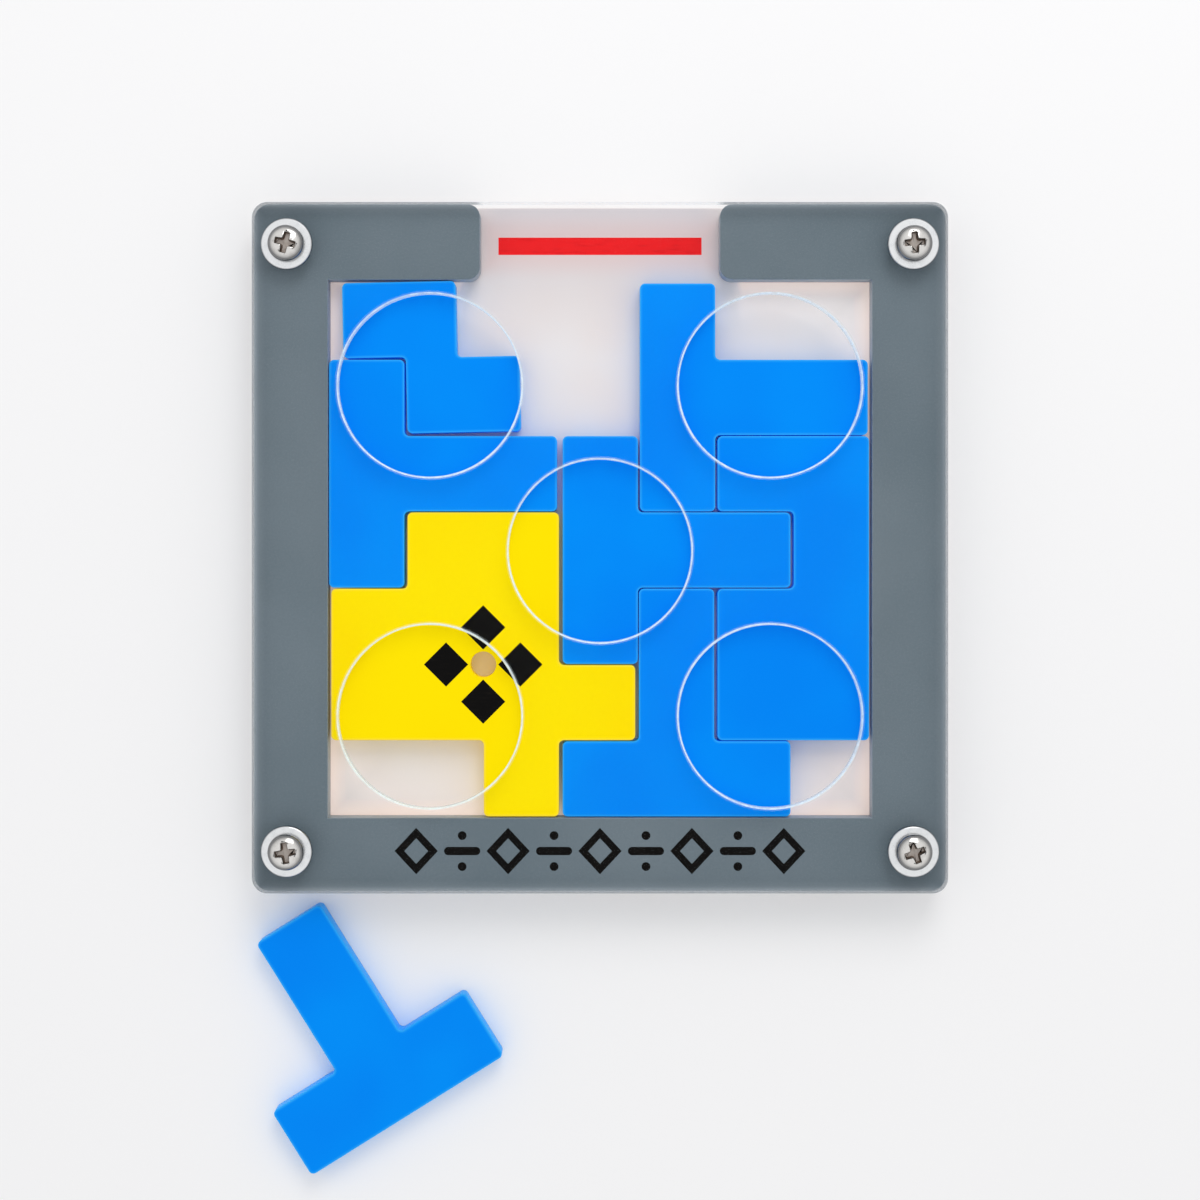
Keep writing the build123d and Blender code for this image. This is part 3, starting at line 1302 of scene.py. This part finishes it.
@dataclass
class Tray:
    """White base, grey border and their engraved fills."""

    fasteners: Fasteners
    width: float = 134.0
    height: float = 133.1
    corner_radius: float = 3.0
    side_border: float = 14.25
    bottom_border: float = 14.2
    top_border: float = 14.6
    entry_width: float = 46.5
    entry_radius: float = 2.4
    base_top: float = 3.0
    frame_top: float = 8.0
    rim: float = 0.22
    nut_pocket_width: float = 8.1
    near_screw: float = 3.0
    near_engraving: float = 0.5

    def inside(self) -> tuple[float, float, float]:
        """Half the width, the bottom and the top of the room inside the border."""
        bottom = -self.height / 2 + self.bottom_border
        return (self.width / 2 - self.side_border, bottom, self.height / 2 - self.top_border)

    def outer_radius(self, place: Vector) -> float:
        """Radius of the tray's four outer corners, and 0 anywhere else."""
        off = max(abs(abs(place.x) - self.width / 2), abs(abs(place.y) - self.height / 2))
        return self.corner_radius if off < CLOSE else 0.0

    def frame_radius(self, place: Vector) -> float:
        """Radius of each corner of the border: the inside corners stay sharp."""
        at_entry = abs(abs(place.x) - self.entry_width / 2) < CLOSE
        return self.entry_radius if at_entry else self.outer_radius(place)

    def base(self) -> Shape:
        """White base with pockets for the nuts and for the red line.

        Returns:
            The base.
        """
        shape = plain_outline(self.width, self.height).draw()
        round_corners(shape, self.outer_radius)
        thicken(shape, 0, self.base_top)
        cutter = bmesh.new()
        pocket_radius = self.nut_pocket_width / 2 / math.cos(math.pi / NUT_SIDES)
        for place in self.fasteners.places():
            add_hole(cutter, place, pocket_radius, NUT_SIDES)
        shape = cut(shape, cutter)
        shape = cut(shape, engraving("red_line"))
        soften_rims(shape, self.on_outside, self.rim)
        return shape

    def on_outside(self, place: Vector) -> bool:
        """Whether a place is on the tray's outside wall, and not at a screw."""
        near_side = abs(place.x) > self.width / 2 - self.corner_radius
        return near_side or abs(place.y) > self.height / 2 - self.corner_radius

    def on_border_outline(self) -> Callable[[Vector], bool]:
        """A test of whether a place is on the border's outline, not at a hole or engraving.

        Returns:
            The test.
        """
        low, high = (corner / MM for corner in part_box("border_inlay"))
        margin = self.near_engraving
        holes = self.fasteners.places()

        def test(place: Vector) -> bool:
            """Whether this place is on the outline."""
            at_screw = any((place.xy - hole.xy).length < self.near_screw for hole in holes)
            beside = low.x - margin < place.x < high.x + margin
            return not at_screw and not (beside and low.y - margin < place.y < high.y + margin)

        return test

    def border(self) -> Shape:
        """Grey border, open at the entry gap, engraved along its bottom.

        Returns:
            The border.
        """
        side, bottom, top = self.inside()
        half_wide, half_high = self.width / 2, self.height / 2
        gap = self.entry_width / 2
        columns = (-half_wide, -side, -gap, gap, side, half_wide)
        rows = (-half_high, bottom, top, half_high)
        shape = Outline(columns, rows, cells("##.##", "#...#", "#####")).draw()
        round_corners(shape, self.frame_radius)
        thicken(shape, self.base_top, self.frame_top)
        shape = cut(shape, self.fasteners.holes())
        shape = cut(shape, engraving("border_inlay"))
        soften_rims(shape, self.on_border_outline(), self.rim)
        return shape

    def build(self) -> None:
        """Make and dress the tray."""
        opal = OpalAcrylic(
            name="opal_sheet",
            body=shade(240, 235, 234),
            # the painted warm glow beside the walls
            warm=shade(238, 216, 205),
            # the painted shade towards the entry's edge
            cool=shade(214, 208, 212),
            # the painted pink glow beside the red line and the border's ends
            pink_glow=shade(234, 190, 184),
            tray=self,
        ).make()
        # the lighter grey is the colour of the painted highlight
        grey = BorderAcrylic("grey_sheet", shade(93, 108, 117), shade(168, 178, 186), self).make()
        dry = Grained(0.3, 0.2, 0.012, 0.06)
        drier = Grained(0.4, 0.2, 0.012, 0.06)
        black = PaintFill("black_paint", shade(9, 8, 8), shade(30, 26, 23), 0.4, dry).make()
        red = PaintFill("red_paint", shade(244, 34, 38), shade(226, 26, 32), 0.9, drier).make()
        Made("opal_base", "tray", Slot.OPAL, "base_plate").place(self.base(), opal)
        Made("grey_border", "tray", Slot.GREY, "tray_frame").place(self.border(), grey)
        dress_node("border_inlay", black)
        dress_node("yellow_inlay", black)
        dress_node("red_line", red)


@dataclass
class Cover:
    """Clear cover with its five finger holes."""

    tray: Tray
    hole_diameter: float = 35.2
    holes_across: float = 65.6
    holes_high: float = 63.8
    holes_shift: float = -0.6
    bottom: float = 8.03
    top: float = 11.0
    hole_rim: float = 0.6
    side_rim: float = 0.3

    def hole_places(self) -> list[Vector]:
        """Middles of the five finger holes."""
        corners = four_corners(self.holes_across, self.holes_high, self.holes_shift)
        return corners + [Vector((0, self.holes_shift, 0))]

    def at_finger_hole(self, place: Vector) -> bool:
        """Whether a place is on the edge of a finger hole."""
        reach = self.hole_diameter / 2 + CLOSE
        return any((place.xy - hole.xy).length < reach for hole in self.hole_places())

    def plate(self) -> Shape:
        """The cover, with its edges flame polished round.

        Returns:
            The cover.
        """
        shape = plain_outline(self.tray.width, self.tray.height).draw()
        round_corners(shape, self.tray.outer_radius)
        thicken(shape, self.bottom, self.top)
        cutter = self.tray.fasteners.holes()
        for place in self.hole_places():
            add_hole(cutter, place, self.hole_diameter / 2, FINGER_HOLE_SIDES)
        shape = cut(shape, cutter)
        soften_rims(shape, self.at_finger_hole, self.hole_rim)
        soften_rims(shape, self.tray.on_outside, self.side_rim)
        return shape

    def build(self) -> None:
        """Make and dress the cover."""
        clear = ClearAcrylic(
            name="clear_sheet",
            # tint: whitish colour of the painted highlight and glow; sidewall: the border's grey
            # painted on
            tint=shade(238, 252, 255),
            shadow=shade(215, 226, 245),
            sidewall=shade(160, 169, 176),
            tray=self.tray,
        ).make()
        Made("clear_cover", "tray", Slot.CLEAR, "cover_plate").place(self.plate(), clear)


@dataclass
class GamePiece:
    """One piece of the game, cut from a sheet on the puzzle's grid."""

    name: str
    node: str
    body: str
    kept: Cells
    turn: float = 0.0
    columns: tuple[float, ...] = ()
    rows: tuple[float, ...] = ()
    cell: float = 14.8
    loss: float = 0.1
    corner_radius: float = 1.0
    thickness: float = 4.5
    rim: float = 0.15
    # rings of the painted highlight: width in millimetres and strength
    highlight_rings: tuple[tuple[float, float], ...] = ((0.12, 0.4), (0.3, 0.0))

    def outline(self) -> Outline:
        """The piece's outline on the grid before it is cut.

        Returns:
            The outline.
        """
        wide = max(column for column, _ in self.kept) + 2
        high = max(row for _, row in self.kept) + 2
        columns = self.columns or tuple(self.cell * line for line in range(wide))
        rows = self.rows or tuple(self.cell * line for line in range(high))
        return Outline(columns, rows, self.kept)

    def shape(self) -> Shape:
        """The piece in its place, with the painted highlight of its edges marked.

        Returns:
            The piece.
        """
        shape = self.outline().draw()
        trim(shape, self.loss)
        round_corners(shape, lambda place: self.corner_radius)
        thicken(shape, 0, self.thickness)
        soften_rims(shape, lambda place: True, self.rim)
        self.mark_edge_highlight(shape)
        self.put_in_place(shape)
        return shape

    def mark_edge_highlight(self, shape: Shape) -> None:
        """Mark the painted highlight: full on walls and rims, fading over rings inside the top.

        Args:
            shape: The piece.
        """
        glow = shape.verts.layers.float.new("glow")
        for corner in shape.verts:
            corner[glow] = 1.0
        level = [face for face in shape.faces if lies_flat(face)]
        top = max(level, key=lambda face: face.calc_center_median().z)
        for width, strength in self.highlight_rings:
            bmesh.ops.inset_region(shape, faces=[top], thickness=width, use_even_offset=True)
            for corner in top.verts:
                corner[glow] = strength

    def put_in_place(self, shape: Shape) -> None:
        """Turn the piece and set its low corner on the CAD node's.

        Args:
            shape: The piece.
        """
        bmesh.ops.rotate(
            shape,
            verts=shape.verts[:],
            cent=(0, 0, 0),
            matrix=Matrix.Rotation(math.radians(self.turn), 3, "Z"),
        )
        low = Vector([min(corner.co[axis] for corner in shape.verts) for axis in range(3)])
        bmesh.ops.translate(shape, verts=shape.verts[:], vec=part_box(self.node)[0] / MM - low)

    def build(self, slot: Slot, material: Material) -> None:
        """Make and dress the piece."""
        Made(self.name, self.body, slot, self.node).place(self.shape(), material)


@dataclass
class YellowPiece(GamePiece):
    """The large piece, with a hole and an engraving filled with black."""

    hole_radius: float = 2.5
    hole_softness: float = 0.1

    def shape(self) -> Shape:
        """The piece with its hole and engraving.

        Returns:
            The piece.
        """
        shape = super().shape()
        low, high = (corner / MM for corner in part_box("yellow_inlay"))
        middle = (low + high) / 2
        cutter = bmesh.new()
        add_hole(cutter, middle, self.hole_radius, ORNAMENT_HOLE_SIDES)
        shape = cut(shape, cutter)
        shape = cut(shape, engraving("yellow_inlay"))
        reach = self.hole_radius + CLOSE / 2
        rims = rim_edges(shape, lambda place: (place.xy - middle.xy).length < reach)
        bevel(shape, rims, self.hole_softness, MOUTH_SEGMENTS, "EDGES")
        return shape


T_CELLS = cells(".#.", ".#.", "###")
YELLOW_CELLS = cells(".##.", "###.", "####", "..#.")
RIGHT_CELLS = cells("##", ".#", "##", "##")
OFFSET_CELLS = cells("##.", ".##")


@dataclass
class Game:
    """The eight pieces of the game."""

    offset_step: float = 12.1
    offset_bar: float = 22.2
    offset_tilt: float = 1.2
    loose_turn: float = 32.0
    # each edge colour is the painted highlight at the pieces' cut edges
    blue: CutAcrylic = field(
        default_factory=lambda: CutAcrylic(
            "blue_sheet", body=shade(0, 145, 254), edge=shade(52, 178, 255), deep=shade(0, 128, 246)
        )
    )
    yellow: CutAcrylic = field(
        default_factory=lambda: CutAcrylic(
            "yellow_sheet",
            body=shade(255, 229, 0),
            edge=shade(255, 224, 70),
            deep=shade(255, 219, 0),
            # the yellow's faces take part of the painted glow too
            face_light=0.7,
        )
    )

    def blue_pieces(self) -> list[GamePiece]:
        """The blue pieces, each on its own body.

        Returns:
            The pieces.
        """
        columns = (0.0, self.offset_step, self.offset_bar, self.offset_step + self.offset_bar)
        rows = (0.0, GamePiece.cell, 2 * GamePiece.cell)
        places = {"turn": self.offset_tilt, "columns": columns, "rows": rows}
        offset_bars = GamePiece(
            "offset_bars", "upper_left_piece", "upper_left", OFFSET_CELLS, **places
        )
        quarter = -90.0
        return [
            offset_bars,
            GamePiece("left_tee", "left_t_piece", "left_t", T_CELLS, quarter),
            GamePiece("centre_tee", "centre_t_piece", "centre_t", T_CELLS, quarter),
            GamePiece("upper_right_tee", "upper_right_t_piece", "upper_right_t", T_CELLS, quarter),
            GamePiece("bottom_tee", "bottom_t_piece", "bottom_t", T_CELLS),
            GamePiece("notched_bar", "right_piece", "right", RIGHT_CELLS),
            GamePiece("loose_tee", "loose_t_piece", "loose_t", T_CELLS, self.loose_turn),
        ]

    def build(self) -> None:
        """Make and dress the eight pieces."""
        blue = self.blue.make()
        for piece in self.blue_pieces():
            piece.build(Slot.BLUE, blue)
        yellow = YellowPiece("large_yellow", "yellow_piece", "yellow", YELLOW_CELLS)
        yellow.build(Slot.YELLOW, self.yellow.make())


@dataclass
class Studio:
    """Pale floor, soft light and the camera straight above the tray."""

    face_height: float = 11.0
    distance: float = 430.0
    view_width: float = 230.8
    sensor: float = 36.0
    picture_pixels: float = 1200.0
    tray_offset_pixels: float = 52.3
    floor_half: float = 3000.0
    floor_drop: float = 0.1
    world_strength: float = 0.82
    key_power: float = 1.5
    key_size: float = 0.4
    key_place: tuple[float, float, float] = (0.12, 0.55, 0.6)
    key_colour: tuple[float, float, float] = (1.0, 0.99, 0.98)

    def floor(self) -> None:
        """Lay the floor just under the tray."""
        shape = bmesh.new()
        bmesh.ops.create_grid(shape, x_segments=4, y_segments=4, size=self.floor_half * MM)
        bmesh.ops.translate(shape, verts=shape.verts[:], vec=(0, 0, -self.floor_drop * MM))
        mesh = as_mesh(shape, "paper_floor")
        paper = StudioFloor("paper", shade(250, 250, 251), shade(238, 239, 244)).make()
        mesh.materials.append(paper)
        add_object("paper_floor", mesh)

    def key_lamp(self) -> None:
        """Add a soft square lamp that faces the tray from the far side."""
        place = Vector(self.key_place)
        data = bpy.data.lights.new("key", "AREA")
        data.size = self.key_size
        data.energy = self.key_power
        data.color = self.key_colour
        lamp = add_object("key", data)
        lamp.location = place
        lamp.rotation_euler = (-place).to_track_quat("-Z", "Y").to_euler()

    def lights(self) -> None:
        """Light the scene from all round, with a key from the far side."""
        world = bpy.data.worlds.new("studio_light")
        world.use_nodes = True
        background = world.node_tree.nodes["Background"]
        background.inputs["Color"].default_value = (1.0, 1.0, 1.0, 1.0)
        background.inputs["Strength"].default_value = self.world_strength
        bpy.context.scene.world = world
        self.key_lamp()
        bpy.context.scene.view_settings.view_transform = "Standard"

    def camera(self) -> None:
        """Set the camera above the tray, with the tray a little above the picture's middle."""
        data = bpy.data.cameras.new("camera")
        data.sensor_width = self.sensor
        data.lens = self.sensor * self.distance / self.view_width
        data.shift_y = -self.tray_offset_pixels / self.picture_pixels
        camera = add_object("camera", data)
        camera.location = (0, 0, (self.face_height + self.distance) * MM)
        bpy.context.scene.camera = camera

    def build(self) -> None:
        """Set up the floor, the lights and the camera."""
        self.floor()
        self.lights()
        self.camera()


def main() -> None:
    """Build every sub-assembly."""
    logging.basicConfig(level=logging.INFO, format="%(message)s")
    fasteners = Fasteners()
    tray = Tray(fasteners)
    tray.build()
    Cover(tray).build()
    fasteners.build()
    Game().build()
    Studio().build()


if __name__ == "__main__":
    main()
